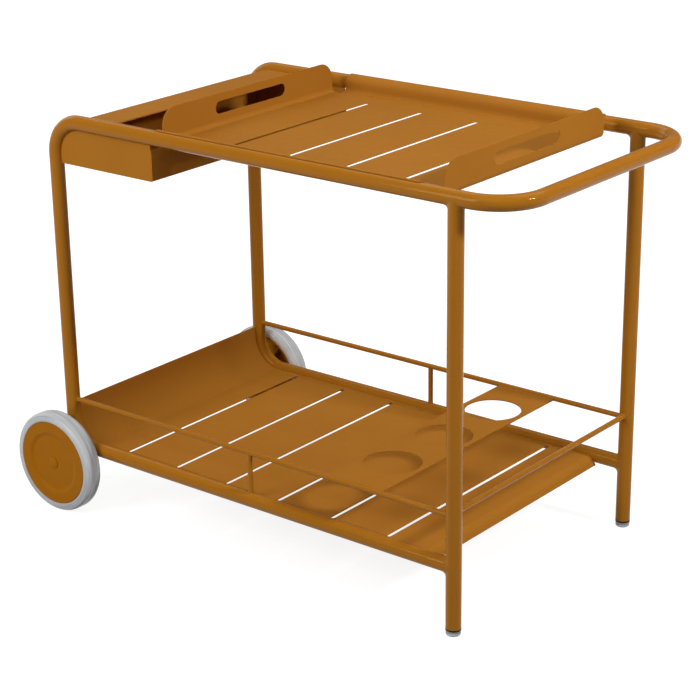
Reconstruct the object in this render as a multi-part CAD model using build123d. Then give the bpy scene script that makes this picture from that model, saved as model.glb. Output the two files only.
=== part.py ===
from build123d import *
import math
import os

os.makedirs("parts", exist_ok=True)

# Serving cart: a bent tube frame on two wheels and two feet, with a slotted lower shelf, guard rods, a
# bottle rack, a bin at the wheel end and a tray that lifts off the top rails.
# Millimetres. +X points to the push handle, +Z up, and the floor is z = 0.
# Left is -Y and right is +Y, as seen by the person who pushes at the handle.

# Frame tubes, sizes along their axes
tube_d = 25.0
tube_wall = 2.0
leg_spacing = 816.0
track = 494.0
rail_z = 695.0
shelf_rail_z = 116.0
wheel_end_bend_r = 57.0
handle_reach = 96.0
handle_bend_r = 74.0
handle_shank = 40.0
weld_gap = 0.1

# Feet
glide_d = 24.0
glide_h = 9.5
glide_edge_r = 4.0
glide_stem_d = 8.0
glide_stem_h = 12.0
insert_flange_h = 3.0
insert_plug_h = 22.0
insert_gap = 0.1

# Sheet parts
sheet = 2.0

# Lower shelf
shelf_curl_h = 76.5
shelf_lip_back = 50.0
shelf_lip_drop = 14.5
shelf_lip_r = 18.0
shelf_lip_angle = 60.0
shelf_rise = 2.0
shelf_slot_count = 6
shelf_slot_w = 7.0
shelf_slot_first_x = 111.0
shelf_slot_last_back = 91.5
shelf_slot_margin = 7.4

# Guard rods and bottle rack
guard_d = 8.8
guard_h = 83.5
end_guard_h = 89.0
rack_back = 198.0
rack_width = 113.0
rack_t = 2.5
bottle_hole_d = 96.0
bottle_hole_count = 3
bottle_hole_pitch = 140.0

# Bin at the wheel end
bin_strip_x = 111.0
bin_depth_x = 220.5
bin_floor_drop = 73.2
bin_front_gap = 6.5
bin_fold_r = 1.5
bin_end_t = 2.5

# Lift-off tray
tray_back = 322.5
tray_length = 557.0
tray_sheet = 1.5
tray_floor_drop = 15.5
tray_fold_r = 8.0
tray_side_inset = 18.0
tray_side_gap = 1.0
tray_seat_gap = 0.3
tray_lip = 2.5
tray_end_inset = 17.75
tray_end_h = 54.5
tray_end_corner_r = 30.0
tray_grip_length = 176.0
tray_grip_height = 21.0
tray_grip_drop = 24.0
tray_slot_count = 4
tray_slot_w = 8.0
tray_slot_end_x = 107.5
tray_slot_margin = 34.0

# Wheels and axle, places along the axle counted outwards from the tube's axis plane
hub_d = 150.0
tyre_t = 15.0
tyre_w = 33.0
tyre_shoulder_r = 10.0
tyre_flat_min = 0.5
wheel_clearance = 4.5
axle_back = 10.0
hub_rim_t = 4.0
hub_rim_inset = 1.0
hub_face_t = 3.0
hub_face_inner_d = 112.0
hub_dish = 3.0
hub_dish_slope = 6.0
hub_dish_r = 8.0
hub_web_t = 3.5
hub_boss_d = 30.0
hub_boss_overhang = 1.5
hub_rib_count = 6
hub_rib_t = 3.0
hub_rib_h = 14.0
hub_edge_r = 1.2
axle_d = 12.0
axle_run_gap = 0.05
bush_wall = 2.4
bush_press_gap = 0.02
end_float = 0.3
washer_d = 24.0
washer_t = 1.5
spacer_d = 20.0
lug_t = 6.0
lug_d = 28.0
cap_d = 20.0
cap_skirt_h = 1.0
cap_h = 2.7
cap_grip_depth = 1.4

# Worked out places
tube_r = tube_d / 2
half_track = track / 2
wheel_r = hub_d / 2 + tyre_t
x_wheel_leg = (wheel_r + axle_back - leg_spacing - handle_reach - tube_r) / 2
x_axle = x_wheel_leg - axle_back
x_front_leg = x_wheel_leg + leg_spacing
x_handle = x_front_leg + handle_reach
x_rail_end = x_handle - handle_bend_r - handle_shank
leg_end_z = glide_h + insert_flange_h
guard_z = shelf_rail_z + guard_h
end_guard_z = shelf_rail_z + end_guard_h
bin_floor_z = rail_z - bin_floor_drop
tray_floor_z = rail_z - tray_floor_drop
tray_end_top_z = tray_floor_z + tray_end_h
between_tubes = track - tube_d - 2 * weld_gap
y_tube = {"left": -half_track, "right": half_track}


def save(shape, node):
    """Write one piece as its own file."""
    export_step(shape, f"parts/{node}.step")


def rod(start, end, radius):
    """A round bar from one point to another."""
    axis = Vector(*end) - Vector(*start)
    plane = Plane(origin=start, z_dir=axis)
    return extrude(plane * Circle(radius), amount=axis.length)


def bent_bar(points, bend_r, radius):
    """A round bar along straight runs joined by bends of one radius."""
    path = FilletPolyline(*points, radius=bend_r)
    section = Plane(origin=path @ 0, z_dir=path % 0) * Circle(radius)
    return sweep(section, path=path)


def bent_sheet(points, radii, width, across, thickness):
    """A strip of sheet along straight runs joined by bends; across is the direction of its width."""
    path = FilletPolyline(*points, radius=radii)
    section = Plane(origin=path @ 0, x_dir=across, z_dir=path % 0) * Rectangle(width, thickness)
    return sweep(section, path=path)


def spread(first, last, count):
    """Even places from the first to the last."""
    return [first + i * (last - first) / (count - 1) for i in range(count)]


def slots_across(xs, length, width, z, thickness):
    """Round-ended slots across the cart, cut through a sheet whose middle is at height z."""
    cut = Sketch()
    for x in xs:
        cut += Pos(x, 0) * Rot(0, 0, 90) * SlotOverall(length, width)
    return extrude(Plane.XY.offset(z) * cut, amount=thickness, both=True)


def side_path(y):
    """Corners of one side tube: shelf rail, wheel-end leg and top rail."""
    return [
        (x_front_leg, y, shelf_rail_z),
        (x_wheel_leg, y, shelf_rail_z),
        (x_wheel_leg, y, rail_z),
        (x_rail_end, y, rail_z),
    ]


def handle_path():
    """Corners of the push handle's loop."""
    return [
        (x_rail_end, -half_track, rail_z),
        (x_handle, -half_track, rail_z),
        (x_handle, half_track, rail_z),
        (x_rail_end, half_track, rail_z),
    ]


def leg_envelope(x, y):
    """The space of a straight leg, for coping what is welded against it."""
    return rod((x, y, 0), (x, y, rail_z), tube_r + weld_gap)


def rail_envelope(y, z):
    """The space of a straight rail, for coping what is welded against it."""
    return rod((x_wheel_leg, y, z), (x_handle, y, z), tube_r + weld_gap)


# Side tubes: lower rail, bend, wheel-end leg, bend and top rail in one length of tube
bore_r = tube_r - tube_wall
for side, y in y_tube.items():
    tube = bent_bar(side_path(y), wheel_end_bend_r, tube_r)
    tube -= bent_bar(side_path(y), wheel_end_bend_r, bore_r)
    tube -= leg_envelope(x_front_leg, y)
    save(tube, f"{side}_side_tube")

# Push handle: a loop of the same tube, butt welded to both top rails
handle = bent_bar(handle_path(), handle_bend_r, tube_r) - bent_bar(handle_path(), handle_bend_r, bore_r)
save(handle, "push_handle")

# Front legs: straight tubes coped under the top rails
for side, y in y_tube.items():
    foot = (x_front_leg, y, leg_end_z)
    top = (x_front_leg, y, rail_z)
    leg = rod(foot, top, tube_r) - rod(foot, top, bore_r)
    leg -= rail_envelope(y, rail_z)
    save(leg, f"{side}_front_leg")

# Feet: a black insert plugged into the leg, and a clear glide plugged into the insert
for side, y in y_tube.items():
    insert_top_z = leg_end_z + insert_plug_h
    insert = rod((x_front_leg, y, glide_h), (x_front_leg, y, leg_end_z), tube_r)
    insert += rod((x_front_leg, y, leg_end_z), (x_front_leg, y, insert_top_z), bore_r - insert_gap)
    stem_top_z = glide_h + glide_stem_h
    socket = rod((x_front_leg, y, glide_h), (x_front_leg, y, stem_top_z), glide_stem_d / 2 + insert_gap)
    save(insert - socket, f"{side}_foot_insert")
    outline = FilletPolyline(
        (0, 0),
        (glide_d / 2, 0),
        (glide_d / 2, glide_h),
        radius=glide_edge_r,
    ) + Polyline(
        (glide_d / 2, glide_h),
        (glide_stem_d / 2, glide_h),
        (glide_stem_d / 2, stem_top_z - insert_gap),
        (0, stem_top_z - insert_gap),
        (0, 0),
    )
    glide_plane = Plane(origin=(x_front_leg, y, 0), x_dir=(1, 0, 0), z_dir=(0, -1, 0))
    glide = revolve(glide_plane * make_face(outline), Axis((x_front_leg, y, 0), (0, 0, 1)))
    save(glide, f"{side}_foot_glide")

# Lower shelf: one slotted sheet, curled up between the wheel-end legs and rolled down at the handle end
shelf_z = shelf_rail_z + shelf_rise
x_lip = x_front_leg - shelf_lip_back
x_lip_corner = x_lip - shelf_lip_drop / math.tan(math.radians(shelf_lip_angle))
shelf = bent_sheet(
    [
        (x_wheel_leg, 0, shelf_rail_z + shelf_curl_h),
        (x_wheel_leg, 0, shelf_z),
        (x_lip_corner, 0, shelf_z),
        (x_lip, 0, shelf_z - shelf_lip_drop),
    ],
    [wheel_end_bend_r, shelf_lip_r],
    between_tubes,
    (0, 1, 0),
    sheet,
)
x_first_slot = x_wheel_leg + shelf_slot_first_x
x_last_slot = x_lip - shelf_slot_last_back
shelf_slots = spread(x_first_slot, x_last_slot, shelf_slot_count)
shelf_slot_length = between_tubes - 2 * shelf_slot_margin
shelf -= slots_across(shelf_slots, shelf_slot_length, shelf_slot_w, shelf_z, sheet)
save(shelf, "lower_shelf")

# Guard rods along both sides and across the handle end, with a post at mid length on each side
x_post = (x_wheel_leg + x_front_leg) / 2
guard_envelope_r = guard_d / 2 + weld_gap
for side, y in y_tube.items():
    guard = rod((x_wheel_leg, y, guard_z), (x_front_leg, y, guard_z), guard_d / 2)
    guard -= leg_envelope(x_wheel_leg, y) + leg_envelope(x_front_leg, y)
    save(guard, f"{side}_guard_rod")
    post = rod((x_post, y, shelf_rail_z), (x_post, y, guard_z), guard_d / 2)
    post -= rail_envelope(y, shelf_rail_z)
    post -= rod((x_wheel_leg, y, guard_z), (x_front_leg, y, guard_z), guard_envelope_r)
    save(post, f"{side}_guard_post")
end_guard = rod((x_front_leg, -half_track, end_guard_z), (x_front_leg, half_track, end_guard_z), guard_d / 2)
end_guard -= leg_envelope(x_front_leg, -half_track) + leg_envelope(x_front_leg, half_track)
save(end_guard, "end_guard_rod")

# Bottle rack: a flat plate with round holes, welded between the side guard rods
rack_length = track - 2 * guard_envelope_r
bottle_holes = Sketch()
for i in range(bottle_hole_count):
    hole_y = (i - (bottle_hole_count - 1) / 2) * bottle_hole_pitch
    bottle_holes += Pos(0, hole_y) * Circle(bottle_hole_d / 2)
rack_face = Rectangle(rack_width, rack_length) - bottle_holes
rack_plane = Plane(origin=(x_front_leg - rack_back, 0, guard_z - rack_t / 2))
save(extrude(rack_plane * rack_face, amount=rack_t), "bottle_rack")

# Bin: a folded sheet from the top strip round the bend, down the wheel end, along the floor and up the front
bin_width = track + bin_end_t
bin_floor_mid_z = bin_floor_z + sheet / 2
x_bin_front = x_wheel_leg + bin_depth_x
bin_fold_mid_r = bin_fold_r + sheet / 2
bin_sheet = bent_sheet(
    [
        (x_wheel_leg + bin_strip_x, 0, rail_z),
        (x_wheel_leg, 0, rail_z),
        (x_wheel_leg, 0, bin_floor_mid_z),
        (x_bin_front - sheet / 2, 0, bin_floor_mid_z),
        (x_bin_front - sheet / 2, 0, tray_floor_z - bin_front_gap),
    ],
    [wheel_end_bend_r, bin_fold_mid_r, bin_fold_mid_r],
    bin_width,
    (0, 1, 0),
    sheet,
)
for y in y_tube.values():
    bin_sheet -= bent_bar(side_path(y), wheel_end_bend_r, tube_r + weld_gap)
save(bin_sheet, "bin_sheet")

# Bin ends: flat plates in the plane of the side tubes, set inside the upper bend and standing on the bin's floor
leg_face_x = x_wheel_leg + tube_r + weld_gap
rail_under_z = rail_z - tube_r - weld_gap
end_plate_z = bin_floor_z + sheet + weld_gap
end_plate_x = x_bin_front - sheet - weld_gap
for side, y in y_tube.items():
    end_plane = Plane(origin=(0, y, 0), x_dir=(1, 0, 0), z_dir=(0, -1, 0))
    end_outline = FilletPolyline(
        (leg_face_x, end_plate_z),
        (leg_face_x, rail_under_z),
        (end_plate_x, rail_under_z),
        radius=wheel_end_bend_r - tube_r - weld_gap,
    ) + FilletPolyline(
        (end_plate_x, rail_under_z),
        (end_plate_x, end_plate_z),
        (leg_face_x, end_plate_z),
        radius=bin_fold_r,
    )
    end_plate = extrude(end_plane * make_face(end_outline), amount=bin_end_t / 2, both=True)
    save(end_plate, f"{side}_bin_end")

# Tray: one sheet with its long sides rolled over the top rails and its ends folded up into grips
x_tray = x_front_leg - tray_back
tray_floor_mid_z = tray_floor_z + tray_sheet / 2
tray_fold_mid_r = tray_fold_r + tray_sheet / 2
x_tray_end = tray_length / 2 - tray_sheet / 2
roll_mid_r = tube_r + tray_side_gap + tray_sheet / 2
tray_wall_y = half_track - roll_mid_r
tray_end_width = 2 * (tray_wall_y - tray_end_inset)
tray_ends = bent_sheet(
    [
        (x_tray - x_tray_end, 0, tray_end_top_z),
        (x_tray - x_tray_end, 0, tray_floor_mid_z),
        (x_tray + x_tray_end, 0, tray_floor_mid_z),
        (x_tray + x_tray_end, 0, tray_end_top_z),
    ],
    [tray_fold_mid_r, tray_fold_mid_r],
    tray_end_width,
    (0, 1, 0),
    tray_sheet,
)
across_cart = Plane(origin=(x_tray, 0, tray_floor_z), x_dir=(0, 1, 0), z_dir=(1, 0, 0))
tray_end_face = RectangleRounded(tray_end_width, 2 * tray_end_h, tray_end_corner_r)
tray_ends &= extrude(across_cart * tray_end_face, amount=tray_length, both=True)
grip_plane = Plane(origin=(x_tray, 0, tray_end_top_z - tray_grip_drop), x_dir=(0, 1, 0), z_dir=(1, 0, 0))
grip_face = SlotOverall(tray_grip_length, tray_grip_height)
tray_ends -= extrude(grip_plane * grip_face, amount=tray_length, both=True)
tray_lip_y = half_track + tray_lip
tray_lip_z = rail_z + tube_r + tray_seat_gap + tray_sheet / 2
tray_sides = bent_sheet(
    [
        (x_tray, -tray_lip_y, tray_lip_z),
        (x_tray, -tray_wall_y, tray_lip_z),
        (x_tray, -tray_wall_y, tray_floor_mid_z),
        (x_tray, tray_wall_y, tray_floor_mid_z),
        (x_tray, tray_wall_y, tray_lip_z),
        (x_tray, tray_lip_y, tray_lip_z),
    ],
    [roll_mid_r, tray_fold_mid_r, tray_fold_mid_r, roll_mid_r],
    tray_length - 2 * tray_side_inset,
    (1, 0, 0),
    tray_sheet,
)
x_slot_reach = tray_length / 2 - tray_slot_end_x
tray_slots = spread(x_tray - x_slot_reach, x_tray + x_slot_reach, tray_slot_count)
tray_slot_length = tray_end_width - 2 * tray_slot_margin
tray = tray_ends + tray_sides
tray -= slots_across(tray_slots, tray_slot_length, tray_slot_w, tray_floor_mid_z, tray_sheet)
save(tray, "tray")

# Wheels, axle and what holds them, worked out along the axle from the tube's axis plane
axle_z = wheel_r
tyre_in = tube_r + wheel_clearance
tyre_out = tyre_in + tyre_w
web_out = tyre_out - hub_dish
web_in = web_out - hub_web_t
boss_in = tyre_in - hub_boss_overhang
bush_r = axle_d / 2 + axle_run_gap
bush_outer_r = bush_r + bush_wall
cap_in = web_out + end_float
axle_end = cap_in + cap_grip_depth
washer_out = boss_in - end_float
washer_in = washer_out - washer_t
axle_axis = Axis((x_axle, 0, axle_z), (0, 1, 0))


def axle_plane(side):
    """Profile plane of the parts on the axle: x is the radius, y runs outwards from the tube's axis plane."""
    outward = 1 if side == "right" else -1
    return Plane(origin=(x_axle, y_tube[side], axle_z), x_dir=(1, 0, 0), z_dir=(0, 0, outward))


def turned(side, face):
    """A round part on the axle, turned from its profile."""
    return revolve(axle_plane(side) * face, axle_axis)


def sleeve(side, inner_r, outer_r, start, end):
    """A plain round sleeve on the axle."""
    return turned(side, Pos((inner_r + outer_r) / 2, (start + end) / 2) * Rectangle(outer_r - inner_r, end - start))


def hub_face():
    """Profile of the wheel's hub: rim, face ring, dished web and boss."""
    rim_r = hub_d / 2
    rim_inner_r = rim_r - hub_rim_t
    ring_inner_r = hub_face_inner_d / 2
    dish_r = ring_inner_r - hub_dish_slope
    bush_seat_r = bush_outer_r + bush_press_gap
    outline = FilletPolyline(
        (rim_r, tyre_in + hub_rim_inset),
        (rim_r, tyre_out),
        (ring_inner_r, tyre_out),
        (dish_r, web_out),
        (bush_seat_r, web_out),
        radius=[hub_edge_r, hub_dish_r, hub_dish_r],
    ) + Polyline(
        (bush_seat_r, web_out),
        (bush_seat_r, boss_in),
        (hub_boss_d / 2, boss_in),
        (hub_boss_d / 2, web_in),
        (dish_r - hub_dish_slope / 2, web_in),
        (ring_inner_r, tyre_out - hub_face_t),
        (rim_inner_r, tyre_out - hub_face_t),
        (rim_inner_r, tyre_in + hub_rim_inset),
        (rim_r, tyre_in + hub_rim_inset),
    )
    return make_face(outline)


def hub_ribs(side):
    """Ribs behind the hub's web, from the boss to the rim."""
    rib_in_r = hub_boss_d / 2 - hub_rib_t
    rib_out_r = hub_d / 2 - hub_rim_t / 2
    rib = Box(rib_out_r - rib_in_r, hub_rib_h + hub_web_t / 2, hub_rib_t)
    rib_mid = web_in + hub_web_t / 2 - (hub_rib_h + hub_web_t / 2) / 2
    outward = 1 if side == "right" else -1
    ribs = Part()
    for i in range(hub_rib_count):
        turn = Rot(0, i * 360 / hub_rib_count, 0)
        ribs += turn * Pos((rib_in_r + rib_out_r) / 2, outward * rib_mid, 0) * rib
    return Pos(x_axle, y_tube[side], axle_z) * ribs


def tyre_face():
    """Profile of the tyre: flat where it sits on the rim, round at both shoulders."""
    seat_r = hub_d / 2 + bush_press_gap
    profile = Pos((seat_r + wheel_r) / 2, (tyre_in + tyre_out) / 2) * Rectangle(wheel_r - seat_r, tyre_w)
    shoulder_r = min(tyre_shoulder_r, wheel_r - seat_r - tyre_flat_min, tyre_w / 2 - tyre_flat_min)
    return fillet(profile.vertices().sort_by(Axis.X)[-2:], shoulder_r)


def cap_face():
    """Profile of the push-on axle cap: a short skirt, a domed top and a blind hole for the axle's end."""
    outline = Polyline(
        (0, axle_end + axle_run_gap),
        (bush_r, axle_end + axle_run_gap),
        (bush_r, cap_in),
        (cap_d / 2, cap_in),
        (cap_d / 2, cap_in + cap_skirt_h),
    )
    dome = TangentArc((0, cap_in + cap_h), (cap_d / 2, cap_in + cap_skirt_h), tangent=(1, 0))
    outline += [dome, Line((0, cap_in + cap_h), (0, axle_end + axle_run_gap))]
    return make_face(outline)


for side in y_tube:
    save(turned(side, hub_face()) + hub_ribs(side), f"{side}_wheel_hub")
    save(turned(side, tyre_face()), f"{side}_tyre")
    save(sleeve(side, bush_r, bush_outer_r, boss_in, web_out), f"{side}_hub_bush")
    save(sleeve(side, bush_r, washer_d / 2, washer_in, washer_out), f"{side}_axle_washer")
    save(sleeve(side, bush_r, spacer_d / 2, lug_t / 2, washer_in), f"{side}_axle_spacer")
    save(turned(side, cap_face()), f"{side}_axle_cap")

axle_half = half_track + axle_end
axle = rod((x_axle, -axle_half, axle_z), (x_axle, axle_half, axle_z), axle_d / 2)
save(axle, "axle")

# Axle lugs: plates welded to the outside of the lower bends, with an eye for the axle
bend_run = wheel_end_bend_r + axle_back
bend_rise = shelf_rail_z + wheel_end_bend_r - axle_z
lug_slope = math.degrees(math.atan2(bend_rise, bend_run))
lug_reach = math.hypot(bend_run, bend_rise) - wheel_end_bend_r
for side, y in y_tube.items():
    lug_plane = Plane(origin=(x_axle, y, axle_z), x_dir=(1, 0, 0), z_dir=(0, -1, 0))
    lug_run = lug_reach - lug_d / 2
    lug_face = Rot(0, 0, lug_slope) * Pos(lug_run / 2, 0) * SlotCenterToCenter(lug_run, lug_d)
    lug_face -= Circle(bush_r)
    lug = extrude(lug_plane * lug_face, amount=lug_t / 2, both=True)
    lug -= bent_bar(side_path(y), wheel_end_bend_r, tube_r + weld_gap)
    save(lug, f"{side}_axle_lug")
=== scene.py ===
import math

import bmesh
import bpy
from mathutils import Matrix, Vector


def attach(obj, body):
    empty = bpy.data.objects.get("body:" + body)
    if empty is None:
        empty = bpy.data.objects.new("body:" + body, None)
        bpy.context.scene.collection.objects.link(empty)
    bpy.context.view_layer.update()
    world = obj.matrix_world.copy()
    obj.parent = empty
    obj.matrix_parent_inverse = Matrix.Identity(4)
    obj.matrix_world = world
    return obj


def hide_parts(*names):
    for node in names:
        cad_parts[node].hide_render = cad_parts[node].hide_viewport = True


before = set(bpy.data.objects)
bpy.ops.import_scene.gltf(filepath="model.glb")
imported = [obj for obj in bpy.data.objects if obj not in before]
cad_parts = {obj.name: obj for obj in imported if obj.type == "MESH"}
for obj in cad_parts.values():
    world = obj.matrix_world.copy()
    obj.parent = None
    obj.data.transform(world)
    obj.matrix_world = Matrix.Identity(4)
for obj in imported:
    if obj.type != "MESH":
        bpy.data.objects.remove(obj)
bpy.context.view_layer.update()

# Side tubes: each is one length of round tube bent into shelf rail, wheel-end leg and top rail.
# The whole frame is sprayed with one satin powder coat, baked to a very fine orange peel.
COAT_LIGHT = (0.370, 0.1390, 0.0100)
COAT_DEEP = (0.350, 0.1305, 0.0090)
COAT_SHEEN = (1.0, 0.70, 0.33, 1)
COAT_ROUGHNESS = (0.11, 0.14)
COAT_SPECULAR = 0.13
CLOUD_PER_M = 9.0
BAKE_PER_M = 60.0
ORANGE_PEEL_PER_M = 700.0
PEEL_STRENGTH = 0.06
PEEL_DEPTH = 0.0002
NOISE_LOW = 0.3
NOISE_HIGH = 0.7


def nodes_of(name):
    """A new node material, its tree and its one shader."""
    material = bpy.data.materials.new(name)
    material.use_nodes = True
    tree = material.node_tree
    return material, tree, tree.nodes["Principled BSDF"]


def noise_on_object(tree, scale, detail, stretch=None):
    """Noise that sits still on the piece, drawn out where a stretch is given."""
    place = tree.nodes.new("ShaderNodeTexCoord").outputs["Object"]
    if stretch:
        drawn = tree.nodes.new("ShaderNodeMapping")
        drawn.inputs["Scale"].default_value = stretch
        tree.links.new(place, drawn.inputs["Vector"])
        place = drawn.outputs["Vector"]
    noise = tree.nodes.new("ShaderNodeTexNoise")
    noise.inputs["Scale"].default_value = scale
    noise.inputs["Detail"].default_value = detail
    tree.links.new(place, noise.inputs["Vector"])
    return noise.outputs["Fac"]


def ramp_between(tree, factor, low, high):
    """A colour that goes from low to high with a noise factor."""
    ramp = tree.nodes.new("ShaderNodeValToRGB")
    start, stop = ramp.color_ramp.elements
    start.position, start.color = NOISE_LOW, (*low, 1)
    stop.position, stop.color = NOISE_HIGH, (*high, 1)
    tree.links.new(factor, ramp.inputs["Fac"])
    return ramp.outputs["Color"]


def spread_value(tree, factor, low, high):
    """A number that goes from low to high with a noise factor."""
    spread = tree.nodes.new("ShaderNodeMapRange")
    spread.inputs["From Min"].default_value = NOISE_LOW
    spread.inputs["From Max"].default_value = NOISE_HIGH
    spread.inputs["To Min"].default_value = low
    spread.inputs["To Max"].default_value = high
    tree.links.new(factor, spread.inputs["Value"])
    return spread.outputs["Result"]


def bump(tree, height, strength, distance):
    """Fine relief on the surface."""
    relief = tree.nodes.new("ShaderNodeBump")
    relief.inputs["Strength"].default_value = strength
    relief.inputs["Distance"].default_value = distance
    tree.links.new(height, relief.inputs["Height"])
    return relief.outputs["Normal"]


def baked_coat(name, light, deep, roughness, specular):
    """Satin powder coat: faint clouds of colour, uneven gloss and a fine orange peel."""
    material, tree, shader = nodes_of(name)
    clouds = noise_on_object(tree, CLOUD_PER_M, 4.0)
    tree.links.new(ramp_between(tree, clouds, deep, light), shader.inputs["Base Color"])
    bake = noise_on_object(tree, BAKE_PER_M, 3.0)
    tree.links.new(spread_value(tree, bake, *roughness), shader.inputs["Roughness"])
    peel = noise_on_object(tree, ORANGE_PEEL_PER_M, 2.0)
    tree.links.new(bump(tree, peel, PEEL_STRENGTH, PEEL_DEPTH), shader.inputs["Normal"])
    shader.inputs["Specular IOR Level"].default_value = specular
    shader.inputs["Specular Tint"].default_value = COAT_SHEEN
    return material


powder_coat = baked_coat("satin_powder_coat", COAT_LIGHT, COAT_DEEP, COAT_ROUGHNESS, COAT_SPECULAR)


def finish_node(material, *names):
    """Give CAD nodes their finish."""
    for name in names:
        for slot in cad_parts[name].material_slots:
            slot.material = material


finish_node(powder_coat, "left_side_tube", "right_side_tube")

# Push handle: a loop of the same tube, in the same powder coat, round the handle end.
# It is butt welded to the ends of both top rails and ground flush, so the joints don't show.
finish_node(powder_coat, "push_handle")

# Front legs: straight tubes coped under the handle's shanks, with the lower rails coped against them.
# Each joint is welded all round and dressed to a smooth hollow before coating.
finish_node(powder_coat, "left_front_leg", "right_front_leg")
TUBE_R = 0.0125
HALF_TRACK = 0.247
X_FRONT_LEG = 0.40375
TOP_RAIL_Z = 0.695
SHELF_RAIL_Z = 0.116
WHEEL_SIDE_WELD_R = 0.0085
HANDLE_SIDE_WELD_R = 0.0020
LOWER_WELD_R = 0.0090
WELD_SINK = 0.0001
ROOT_SINK = 0.0005
ARC_STEPS = 8
FULL_STEPS = 48
FULL_ROUND = [2 * math.pi * i / FULL_STEPS for i in range(FULL_STEPS)]
# A weld between equal tubes runs out at both sides, just short of a half turn.
HALF_STEPS = 24
HALF_REACH = math.radians(89.0)
HALF_ROUND = [HALF_REACH * (i / HALF_STEPS - 1) for i in range(2 * HALF_STEPS + 1)]


def add_weld(shape, joint, run, along, small, big, bead, turns):
    """A hollow weld where a tube of radius small, leaving along run, meets a tube of radius big:
    the trace of a ball of radius bead that rolls round the joint through the given turns."""
    across = run.cross(along)
    rows = []
    for turn in turns:
        side = along * math.cos(turn) + across * math.sin(turn)
        reach = math.sqrt((big + bead) ** 2 - ((small + bead) * math.sin(turn)) ** 2)
        ball = joint + run * reach + side * (small + bead)
        to_small = -side
        to_big = -(run * reach + across * (small + bead) * math.sin(turn)).normalized()
        arc = [
            ball + to_small.slerp(to_big, k / ARC_STEPS, to_small) * bead
            for k in range(ARC_STEPS + 1)
        ]
        arc[0] += to_small * WELD_SINK
        arc[-1] += to_big * WELD_SINK
        depth = math.sqrt(max(big**2 - (small * math.sin(turn)) ** 2, 0))
        root = joint + run * (depth - ROOT_SINK) + side * (small - ROOT_SINK)
        rows.append([shape.verts.new(place) for place in [*arc, root]])
    closed = turns is FULL_ROUND
    for i, row in enumerate(rows if closed else rows[:-1]):
        after = rows[(i + 1) % len(rows)]
        for k in range(len(row)):
            n = (k + 1) % len(row)
            shape.faces.new((row[k], row[n], after[n], after[k])).smooth = k < ARC_STEPS
    if not closed:
        shape.faces.new(rows[0]).smooth = False
        shape.faces.new(rows[-1]).smooth = False


def weld_piece(name, shape):
    """Close a set of welds into one coated piece of the cart."""
    bmesh.ops.recalc_face_normals(shape, faces=shape.faces)
    for edge in shape.edges:
        edge.smooth = all(face.smooth for face in edge.link_faces)
    mesh = bpy.data.meshes.new(name)
    shape.to_mesh(mesh)
    shape.free()
    mesh.materials.append(powder_coat)
    piece = bpy.data.objects.new(name, mesh)
    bpy.context.scene.collection.objects.link(piece)
    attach(piece, "cart")


UP, DOWN = Vector((0, 0, 1)), Vector((0, 0, -1))
FORWARD, BACKWARD = Vector((1, 0, 0)), Vector((-1, 0, 0))
shape = bmesh.new()
for y in (-HALF_TRACK, HALF_TRACK):
    top = Vector((X_FRONT_LEG, y, TOP_RAIL_Z))
    add_weld(shape, top, DOWN, BACKWARD, TUBE_R, TUBE_R, WHEEL_SIDE_WELD_R, HALF_ROUND)
    add_weld(shape, top, DOWN, FORWARD, TUBE_R, TUBE_R, HANDLE_SIDE_WELD_R, HALF_ROUND)
    low = Vector((X_FRONT_LEG, y, SHELF_RAIL_Z))
    add_weld(shape, low, BACKWARD, UP, TUBE_R, TUBE_R, LOWER_WELD_R, HALF_ROUND)
    add_weld(shape, low, BACKWARD, DOWN, TUBE_R, TUBE_R, LOWER_WELD_R, HALF_ROUND)
weld_piece("front_leg_welds", shape)

# Feet: a black moulded insert driven into each leg's open end.
# A rounded glide of clear plastic is plugged into each insert and stands on the floor.
BLACK_LOW = (0.006, 0.006, 0.007)
BLACK_HIGH = (0.012, 0.012, 0.013)
GLIDE_LOW = (0.26, 0.27, 0.28)
GLIDE_HIGH = (0.40, 0.41, 0.42)
GLIDE_CLEARNESS = 0.5
FLOW_PER_M = 45.0
GRAIN_PER_M = 900.0
GRAIN_STRENGTH = 0.10
GRAIN_DEPTH = 0.0002


def moulded(name, low, high, roughness, specular, stretch=None):
    """A moulded or drawn material: nearly even colour and gloss, with a fine grain."""
    material, tree, shader = nodes_of(name)
    shader.inputs["Specular IOR Level"].default_value = specular
    flow = noise_on_object(tree, FLOW_PER_M, 3.0, stretch)
    tree.links.new(ramp_between(tree, flow, low, high), shader.inputs["Base Color"])
    tree.links.new(spread_value(tree, flow, *roughness), shader.inputs["Roughness"])
    grain = noise_on_object(tree, GRAIN_PER_M, 2.0)
    tree.links.new(bump(tree, grain, GRAIN_STRENGTH, GRAIN_DEPTH), shader.inputs["Normal"])
    return material


black_plastic = moulded("black_foot_plastic", BLACK_LOW, BLACK_HIGH, roughness=(0.45, 0.6), specular=0.15)
clear_plastic = moulded("clear_glide_plastic", GLIDE_LOW, GLIDE_HIGH, roughness=(0.20, 0.30), specular=0.5)
clear_shader = clear_plastic.node_tree.nodes["Principled BSDF"]
clear_shader.inputs["Transmission Weight"].default_value = GLIDE_CLEARNESS
finish_node(black_plastic, "left_foot_insert", "right_foot_insert")
finish_node(clear_plastic, "left_foot_glide", "right_foot_glide")

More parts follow.
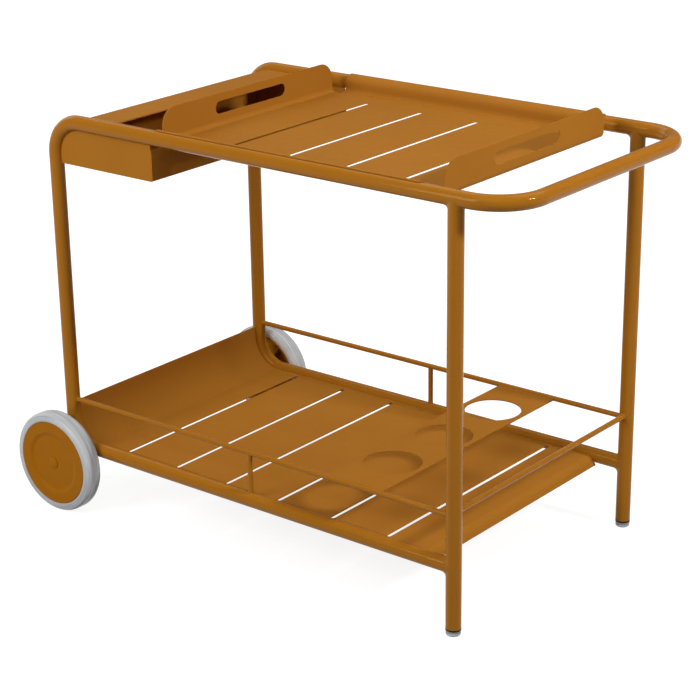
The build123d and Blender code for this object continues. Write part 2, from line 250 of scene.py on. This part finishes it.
# Lower shelf: one slotted sheet between the lower rails, curled up at the wheels and rolled down in front.
# Its cut edges are broken before coating, and short stitches of weld under it hold it to both rails.
EDGE_BREAK = 0.0005
EDGE_SEGMENTS = 2
EDGE_ANGLE = math.radians(50)
SAME_PLACE = 1e-6
SHEET_LIGHT = (0.386, 0.1510, 0.0175)
SHEET_DEEP = (0.366, 0.1420, 0.0160)
SHEET_ROUGHNESS = (0.46, 0.54)
SHEET_SPECULAR = 0.03
sheet_coat = baked_coat("satin_sheet_coat", SHEET_LIGHT, SHEET_DEEP, SHEET_ROUGHNESS, SHEET_SPECULAR)


def break_edges(name, body, material):
    """Stand in for a CAD node with the same shape, its sharp edges slightly rounded.
    The normals are weighted by area, so the flat faces between the bends look flat."""
    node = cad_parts[name]
    mesh = node.data.copy()
    mesh.name = f"{name}_broken_edges"
    mesh.transform(node.matrix_world)
    shape = bmesh.new()
    shape.from_mesh(mesh)
    bmesh.ops.remove_doubles(shape, verts=shape.verts, dist=SAME_PLACE)
    for face in shape.faces:
        face.smooth = True
    shape.to_mesh(mesh)
    shape.free()
    mesh.materials.clear()
    mesh.materials.append(material)
    piece = bpy.data.objects.new(f"{name}_broken_edges", mesh)
    bpy.context.scene.collection.objects.link(piece)
    edges = piece.modifiers.new("edges", "BEVEL")
    edges.width = EDGE_BREAK
    edges.segments = EDGE_SEGMENTS
    edges.limit_method = "ANGLE"
    edges.angle_limit = EDGE_ANGLE
    flats = piece.modifiers.new("flats", "WEIGHTED_NORMAL")
    flats.mode = "FACE_AREA"
    flats.weight = 100
    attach(piece, body)
    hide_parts(name)


break_edges("lower_shelf", "cart", sheet_coat)
STITCH_LENGTH = 0.025
STITCH_PITCH = 0.0022
STITCH_R = 0.0019
STITCH_SEED = 7
COIN_SEGMENTS = 8
COIN_RINGS = 5
COIN_SIZES = (0.85, 1.1)
SHELF_EDGE = 0.2338
SHELF_UNDER_Z = 0.1163
SHELF_STITCHES = (-0.30, -0.15, 0.0, 0.15, 0.29)


def stitch_tree():
    """Nodes that lay a row of overlapping weld coins along each edge of a mesh."""
    tree = bpy.data.node_groups.new("weld_stitches", "GeometryNodeTree")
    kinds = {"Geometry": "Geometry", "Pitch": "Float", "Radius": "Float", "Seed": "Int", "Material": "Material"}
    for name, kind in kinds.items():
        tree.interface.new_socket(name, in_out="INPUT", socket_type=f"NodeSocket{kind}")
    tree.interface.new_socket("Geometry", in_out="OUTPUT", socket_type="NodeSocketGeometry")
    given = tree.nodes.new("NodeGroupInput")
    result = tree.nodes.new("NodeGroupOutput")
    path = tree.nodes.new("GeometryNodeMeshToCurve")
    places = tree.nodes.new("GeometryNodeCurveToPoints")
    places.mode = "LENGTH"
    coin = tree.nodes.new("GeometryNodeMeshUVSphere")
    coin.inputs["Segments"].default_value = COIN_SEGMENTS
    coin.inputs["Rings"].default_value = COIN_RINGS
    size = tree.nodes.new("FunctionNodeRandomValue")
    size.data_type = "FLOAT"
    size.inputs[2].default_value, size.inputs[3].default_value = COIN_SIZES
    spread = tree.nodes.new("GeometryNodeInstanceOnPoints")
    realize = tree.nodes.new("GeometryNodeRealizeInstances")
    smooth = tree.nodes.new("GeometryNodeSetShadeSmooth")
    coat = tree.nodes.new("GeometryNodeSetMaterial")
    tree.links.new(given.outputs["Geometry"], path.inputs["Mesh"])
    tree.links.new(path.outputs["Curve"], places.inputs["Curve"])
    tree.links.new(given.outputs["Pitch"], places.inputs["Length"])
    tree.links.new(given.outputs["Radius"], coin.inputs["Radius"])
    tree.links.new(given.outputs["Seed"], size.inputs["Seed"])
    tree.links.new(places.outputs["Points"], spread.inputs["Points"])
    tree.links.new(places.outputs["Rotation"], spread.inputs["Rotation"])
    tree.links.new(coin.outputs["Mesh"], spread.inputs["Instance"])
    tree.links.new(size.outputs[1], spread.inputs["Scale"])
    tree.links.new(spread.outputs["Instances"], realize.inputs["Geometry"])
    tree.links.new(realize.outputs["Geometry"], smooth.inputs["Geometry"])
    tree.links.new(smooth.outputs["Geometry"], coat.inputs["Geometry"])
    tree.links.new(given.outputs["Material"], coat.inputs["Material"])
    tree.links.new(coat.outputs["Geometry"], result.inputs["Geometry"])
    return tree


STITCHES = stitch_tree()


def stitch_piece(name, lines):
    """Weld stitches along straight lines, made into one coated mesh on the cart."""
    guide = bpy.data.meshes.new(f"{name}_lines")
    ends = [end for line in lines for end in line]
    guide.from_pydata(ends, [(2 * i, 2 * i + 1) for i in range(len(lines))], [])
    holder = bpy.data.objects.new(f"{name}_lines", guide)
    bpy.context.scene.collection.objects.link(holder)
    row = holder.modifiers.new("stitches", "NODES")
    row.node_group = STITCHES
    values = {"Pitch": STITCH_PITCH, "Radius": STITCH_R, "Seed": STITCH_SEED, "Material": sheet_coat}
    for socket in STITCHES.interface.items_tree:
        if socket.in_out == "INPUT" and socket.name in values:
            row[socket.identifier] = values[socket.name]
    ready = holder.evaluated_get(bpy.context.evaluated_depsgraph_get())
    mesh = bpy.data.meshes.new_from_object(ready)
    bpy.data.objects.remove(holder)
    mesh.name = name
    piece = bpy.data.objects.new(name, mesh)
    bpy.context.scene.collection.objects.link(piece)
    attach(piece, "cart")


def stitches_along_x(places, y, z):
    """Lines for stitches that run along the cart at both sides."""
    half = STITCH_LENGTH / 2
    return [((x - half, side * y, z), (x + half, side * y, z)) for side in (-1, 1) for x in places]


stitch_piece("shelf_stitches", stitches_along_x(SHELF_STITCHES, SHELF_EDGE, SHELF_UNDER_Z))

# Guard rods: thin solid rods along both sides and across the front, each side with a post at mid length.
# Their ends are coped against the legs and rails, and each has a small weld all round.
finish_node(powder_coat, "left_guard_rod", "right_guard_rod", "end_guard_rod")
finish_node(powder_coat, "left_guard_post", "right_guard_post")
ROD_R = 0.0044
GUARD_Z = 0.1995
END_GUARD_Z = 0.205
X_WHEEL_LEG = -0.41225
X_POST = (X_WHEEL_LEG + X_FRONT_LEG) / 2
ROD_WELD_R = 0.0020
POST_TOP_WELD_R = 0.0016
shape = bmesh.new()
for y, inward in ((-HALF_TRACK, Vector((0, 1, 0))), (HALF_TRACK, Vector((0, -1, 0)))):
    add_weld(shape, Vector((X_WHEEL_LEG, y, GUARD_Z)), FORWARD, UP, ROD_R, TUBE_R, ROD_WELD_R, FULL_ROUND)
    add_weld(shape, Vector((X_FRONT_LEG, y, GUARD_Z)), BACKWARD, UP, ROD_R, TUBE_R, ROD_WELD_R, FULL_ROUND)
    add_weld(shape, Vector((X_FRONT_LEG, y, END_GUARD_Z)), inward, UP, ROD_R, TUBE_R, ROD_WELD_R, FULL_ROUND)
    add_weld(shape, Vector((X_POST, y, SHELF_RAIL_Z)), UP, FORWARD, ROD_R, TUBE_R, ROD_WELD_R, FULL_ROUND)
    for along in (FORWARD, BACKWARD):
        add_weld(shape, Vector((X_POST, y, GUARD_Z)), DOWN, along, ROD_R, ROD_R, POST_TOP_WELD_R, HALF_ROUND)
weld_piece("guard_rod_welds", shape)

# Bottle rack: a flat coated plate with three bottle holes, its edges broken before coating.
# Short stitches of weld under its ends hold it between the side guard rods.
break_edges("bottle_rack", "cart", sheet_coat)
X_RACK = 0.20575
RACK_EDGE = 0.2422
RACK_UNDER_Z = 0.1980
RACK_STITCH_APART = 0.034
RACK_STITCHES = (X_RACK - RACK_STITCH_APART, X_RACK + RACK_STITCH_APART)
stitch_piece("rack_stitches", stitches_along_x(RACK_STITCHES, RACK_EDGE, RACK_UNDER_Z))

# Bin: one folded sheet from the top strip down and round to its front wall, in the sheet's coat.
# Two end plates close it, held by short stitches of weld along the floor inside.
for name in ("bin_sheet", "left_bin_end", "right_bin_end"):
    break_edges(name, "cart", sheet_coat)
BIN_EDGE = 0.2452
BIN_INSIDE_Z = 0.6243
BIN_STITCHES = (-0.35, -0.29, -0.23)
stitch_piece("bin_stitches", stitches_along_x(BIN_STITCHES, BIN_EDGE, BIN_INSIDE_Z))

# Axle: a plain steel rod through two coated lugs that are welded to the lower bends.
# Black sleeves space the wheels from the lugs, and steel washers lie under the caps.
STEEL_LOW = (0.48, 0.48, 0.49)
STEEL_HIGH = (0.58, 0.58, 0.59)
plain_steel = moulded("plain_axle_steel", STEEL_LOW, STEEL_HIGH, roughness=(0.28, 0.40), specular=0.5)
plain_steel.node_tree.nodes["Principled BSDF"].inputs["Metallic"].default_value = 1.0
finish_node(sheet_coat, "left_axle_lug", "right_axle_lug")
finish_node(plain_steel, "axle", "left_axle_washer", "right_axle_washer")
finish_node(black_plastic, "left_axle_spacer", "right_axle_spacer")

# Wheels: a moulded hub in the frame's colour with a black bush, a push-on cap and a soft grey tyre.
# The tyre is turned here, with rolled shoulders and fine moulded grooves, and sits in the hub's rim.
HUB_LIGHT = (0.370, 0.1320, 0.0024)
HUB_DEEP = (0.348, 0.1220, 0.0020)
hub_plastic = moulded("hub_plastic", HUB_DEEP, HUB_LIGHT, roughness=(0.45, 0.55), specular=0.06)
# The tyre's grey runs in pale and dark streaks round it: partly moulding flow, partly painted highlight streaks
# on the tread.
TYRE_DARK = (0.40, 0.415, 0.43)
TYRE_PALE_AND_HIGHLIGHT = (0.62, 0.635, 0.645)
TYRE_STREAKS_OF_FLOW_AND_HIGHLIGHT = (0.25, 9.0, 0.25)
grey_tyre = moulded(
    "grey_tyre_rubber", TYRE_DARK, TYRE_PALE_AND_HIGHLIGHT, roughness=(0.20, 0.32), specular=0.14, stretch=TYRE_STREAKS_OF_FLOW_AND_HIGHLIGHT
)
X_AXLE = -0.42225
AXLE_Z = 0.090
TYRE_R = 0.090
SEAT_R = 0.07505
TYRE_IN = 0.264
TYRE_OUT = 0.297
SHOULDER_R = 0.010
GROOVE_DEPTH = 0.0006
GROOVE_HALF = 0.0008
GROOVES_AT = (0.0, 0.55, 0.80, 0.95)
OUTLINE_STEPS = 22
LIP = ((0.0009, 0.0), (0.0004, 0.0006), (0.0, 0.0020))
TYRE_TURNS = 144
TYRE_CREASE = math.radians(60)


def tyre_outline():
    """Radius and reach along the axle round the tyre: seat, lip, rolled shoulders and grooves.
    GROOVES_AT are shares of the way from the middle of the tread to the side."""
    middle = (TYRE_IN + TYRE_OUT) / 2
    flat = (TYRE_OUT - TYRE_IN) / 2 - SHOULDER_R
    quarter = SHOULDER_R * math.pi / 2
    whole = quarter + flat
    grooves = [share * whole for share in GROOVES_AT]
    marks = {i * whole / OUTLINE_STEPS for i in range(OUTLINE_STEPS + 1)}
    for groove in grooves:
        marks |= {groove - GROOVE_HALF, groove, groove + GROOVE_HALF}
    half = []
    for run in sorted(mark for mark in marks if 0 <= mark <= whole):
        cut = sum(GROOVE_DEPTH * max(0, 1 - abs(run - groove) / GROOVE_HALF) for groove in grooves)
        turn = max(0, run - flat) / SHOULDER_R
        radius = TYRE_R - SHOULDER_R + (SHOULDER_R - cut) * math.cos(turn)
        reach = min(run, flat) + (SHOULDER_R - cut) * math.sin(turn)
        half.append((radius, reach))
    face = half[-1][1]
    half += [(SEAT_R + out, face - drop) for out, drop in LIP]
    return [(r, middle + a) for r, a in half] + [(r, middle - a) for r, a in reversed(half[1:])]


def add_tyre(side, outward):
    """A turned tyre that stands for the CAD tyre of one wheel."""
    shape = bmesh.new()
    outline = tyre_outline()
    rows = []
    for i in range(TYRE_TURNS):
        turn = 2 * math.pi * i / TYRE_TURNS
        rows.append([
            shape.verts.new((X_AXLE + r * math.cos(turn), outward * reach, AXLE_Z + r * math.sin(turn)))
            for r, reach in outline
        ])
    for i, row in enumerate(rows):
        after = rows[(i + 1) % TYRE_TURNS]
        for k in range(len(row)):
            n = (k + 1) % len(row)
            shape.faces.new((row[k], row[n], after[n], after[k])).smooth = True
    bmesh.ops.recalc_face_normals(shape, faces=shape.faces)
    for edge in shape.edges:
        edge.smooth = len(edge.link_faces) == 2 and edge.calc_face_angle() < TYRE_CREASE
    name = f"{side}_tyre_moulding"
    mesh = bpy.data.meshes.new(name)
    shape.to_mesh(mesh)
    shape.free()
    mesh.materials.append(grey_tyre)
    piece = bpy.data.objects.new(name, mesh)
    bpy.context.scene.collection.objects.link(piece)
    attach(piece, f"{side}_wheel")
    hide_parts(f"{side}_tyre")


for side, outward in (("left", -1), ("right", 1)):
    finish_node(hub_plastic, f"{side}_wheel_hub", f"{side}_axle_cap")
    finish_node(black_plastic, f"{side}_hub_bush")
    add_tyre(side, outward)

# Tray: one slotted sheet in the sheet's coat, whose ends fold up into grips.
# Its long sides roll over the top rails, and it lifts off them.
break_edges("tray", "tray", sheet_coat)

# Studio: a pale floor that runs on into a low white surround, both seen as white by the camera and in
# reflections, a small lamp at the handle end, and softboxes round and above the cart.
FLOOR_SIZE = 40.0
FLOOR_SHADE = (0.34, 0.34, 0.34, 1)
FLOOR_SEEN = (0.30, 0.30, 0.30, 1)
FLOOR_GLOW_FAR = 1.0
FLOOR_GLOW_NEAR = 0.84
NEAR_SCALE = (0.5, 0.5, 0.5)
WALL_LOW = -0.02
WALL_HIGH = 0.08
WHITE_LEVEL = 1.0
DIM_LEVEL = 0.18


def background_rays(tree):
    """One for rays that meet the background from the camera, or by way of metal or glass."""
    rays = tree.nodes.new("ShaderNodeLightPath")
    seen = rays.outputs["Is Camera Ray"]
    for kind in ("Is Glossy Ray", "Is Transmission Ray"):
        either = tree.nodes.new("ShaderNodeMath")
        either.operation = "MAXIMUM"
        tree.links.new(seen, either.inputs[0])
        tree.links.new(rays.outputs[kind], either.inputs[1])
        seen = either.outputs["Value"]
    return seen


floor_mesh = bpy.data.meshes.new("studio_floor")
half_floor = FLOOR_SIZE / 2
corners = [(x * half_floor, y * half_floor, 0) for x, y in ((-1, -1), (1, -1), (1, 1), (-1, 1))]
floor_mesh.from_pydata(corners, [], [(0, 1, 2, 3)])
floor = bpy.data.objects.new("studio_floor", floor_mesh)
bpy.context.scene.collection.objects.link(floor)
floor_material = bpy.data.materials.new("studio_floor")
floor_material.use_nodes = True
tree = floor_material.node_tree
tree.nodes.clear()
out = tree.nodes.new("ShaderNodeOutputMaterial")
plain = tree.nodes.new("ShaderNodeBsdfDiffuse")
plain.inputs["Color"].default_value = FLOOR_SHADE
lit = tree.nodes.new("ShaderNodeBsdfDiffuse")
lit.inputs["Color"].default_value = FLOOR_SEEN
glow = tree.nodes.new("ShaderNodeEmission")
place = tree.nodes.new("ShaderNodeTexCoord")
near = tree.nodes.new("ShaderNodeMapping")
near.inputs["Scale"].default_value = NEAR_SCALE
fade = tree.nodes.new("ShaderNodeTexGradient")
fade.gradient_type = "SPHERICAL"
strength = tree.nodes.new("ShaderNodeMapRange")
strength.inputs["To Min"].default_value = FLOOR_GLOW_FAR
strength.inputs["To Max"].default_value = FLOOR_GLOW_NEAR
both = tree.nodes.new("ShaderNodeAddShader")
pick = tree.nodes.new("ShaderNodeMixShader")
tree.links.new(place.outputs["Object"], near.inputs["Vector"])
tree.links.new(near.outputs["Vector"], fade.inputs["Vector"])
tree.links.new(fade.outputs["Fac"], strength.inputs["Value"])
tree.links.new(strength.outputs["Result"], glow.inputs["Strength"])
tree.links.new(lit.outputs["BSDF"], both.inputs[0])
tree.links.new(glow.outputs["Emission"], both.inputs[1])
tree.links.new(background_rays(tree), pick.inputs["Fac"])
tree.links.new(plain.outputs["BSDF"], pick.inputs[1])
tree.links.new(both.outputs["Shader"], pick.inputs[2])
tree.links.new(pick.outputs["Shader"], out.inputs["Surface"])
floor_mesh.materials.append(floor_material)

world = bpy.data.worlds.new("white_surround")
bpy.context.scene.world = world
world.use_nodes = True
tree = world.node_tree
surround = tree.nodes["Background"]
surround.inputs["Color"].default_value = (1, 1, 1, 1)
place = tree.nodes.new("ShaderNodeTexCoord")
height = tree.nodes.new("ShaderNodeSeparateXYZ")
wall = tree.nodes.new("ShaderNodeMapRange")
wall.inputs["From Min"].default_value = WALL_LOW
wall.inputs["From Max"].default_value = WALL_HIGH
wall.inputs["To Min"].default_value = WHITE_LEVEL
wall.inputs["To Max"].default_value = DIM_LEVEL
level = tree.nodes.new("ShaderNodeMapRange")
level.inputs["To Min"].default_value = DIM_LEVEL
tree.links.new(place.outputs["Generated"], height.inputs["Vector"])
tree.links.new(height.outputs["Z"], wall.inputs["Value"])
tree.links.new(wall.outputs["Result"], level.inputs["To Max"])
tree.links.new(background_rays(tree), level.inputs["Value"])
tree.links.new(level.outputs["Result"], surround.inputs["Strength"])

LAMP_REACH = 2.8
LAMP_AIM = Vector((0.0, 0.0, 0.45))


def soft_lamp(name, turn, height, size, power):
    """A square softbox round the cart: its turn from the left side and its height are in degrees."""
    lamp = bpy.data.lights.new(name, "AREA")
    lamp.shape = "SQUARE"
    lamp.size = size
    lamp.energy = power
    holder = bpy.data.objects.new(name, lamp)
    a, e = math.radians(turn), math.radians(height)
    away = Vector((math.sin(a) * math.cos(e), -math.cos(a) * math.cos(e), math.sin(e)))
    holder.location = LAMP_AIM + away * LAMP_REACH
    holder.rotation_mode = "QUATERNION"
    holder.rotation_quaternion = away.to_track_quat("Z", "Y")
    bpy.context.scene.collection.objects.link(holder)


soft_lamp("left_softbox", -15, 26, 1.3, 44.0)
soft_lamp("handle_end_softbox", 99, 30, 0.3, 44.0)
soft_lamp("wheel_end_softbox", -95, 23, 1.6, 13.0)
soft_lamp("rear_softbox", 150, 60, 1.6, 16.0)
soft_lamp("high_softbox", 23, 50, 1.6, 14.0)
soft_lamp("back_softbox", -125, 50, 1.6, 10.0)

# Camera: a long lens at the height and turn of the photograph.
# Its angles are in radians, and its place and shift frame a square image.
LENS_PX = 2023.55
IMAGE_PX = 700.0
SENSOR_MM = 36.0
AZIMUTH = 0.69011
ELEVATION = 0.37685
ROLL = -0.018376
AIM = Vector((0.155118, -0.241501, 0.327777))
DISTANCE = 3.144419
CENTRE_PX = (326.618, 399.760)
back = Vector((
    math.sin(AZIMUTH) * math.cos(ELEVATION),
    -math.cos(AZIMUTH) * math.cos(ELEVATION),
    math.sin(ELEVATION),
))
level_right = UP.cross(back).normalized()
level_up = back.cross(level_right)
right = level_right * math.cos(ROLL) + level_up * math.sin(ROLL)
up = level_up * math.cos(ROLL) - level_right * math.sin(ROLL)
lens = bpy.data.cameras.new("camera")
lens.sensor_width = SENSOR_MM
lens.lens = LENS_PX * SENSOR_MM / IMAGE_PX
lens.shift_x = (IMAGE_PX / 2 - CENTRE_PX[0]) / IMAGE_PX
lens.shift_y = (CENTRE_PX[1] - IMAGE_PX / 2) / IMAGE_PX
camera = bpy.data.objects.new("camera", lens)
turned = Matrix((right, up, back)).transposed().to_4x4()
camera.matrix_world = Matrix.Translation(AIM + back * DISTANCE) @ turned
bpy.context.scene.collection.objects.link(camera)
bpy.context.scene.camera = camera
bpy.context.scene.view_settings.view_transform = "Standard"
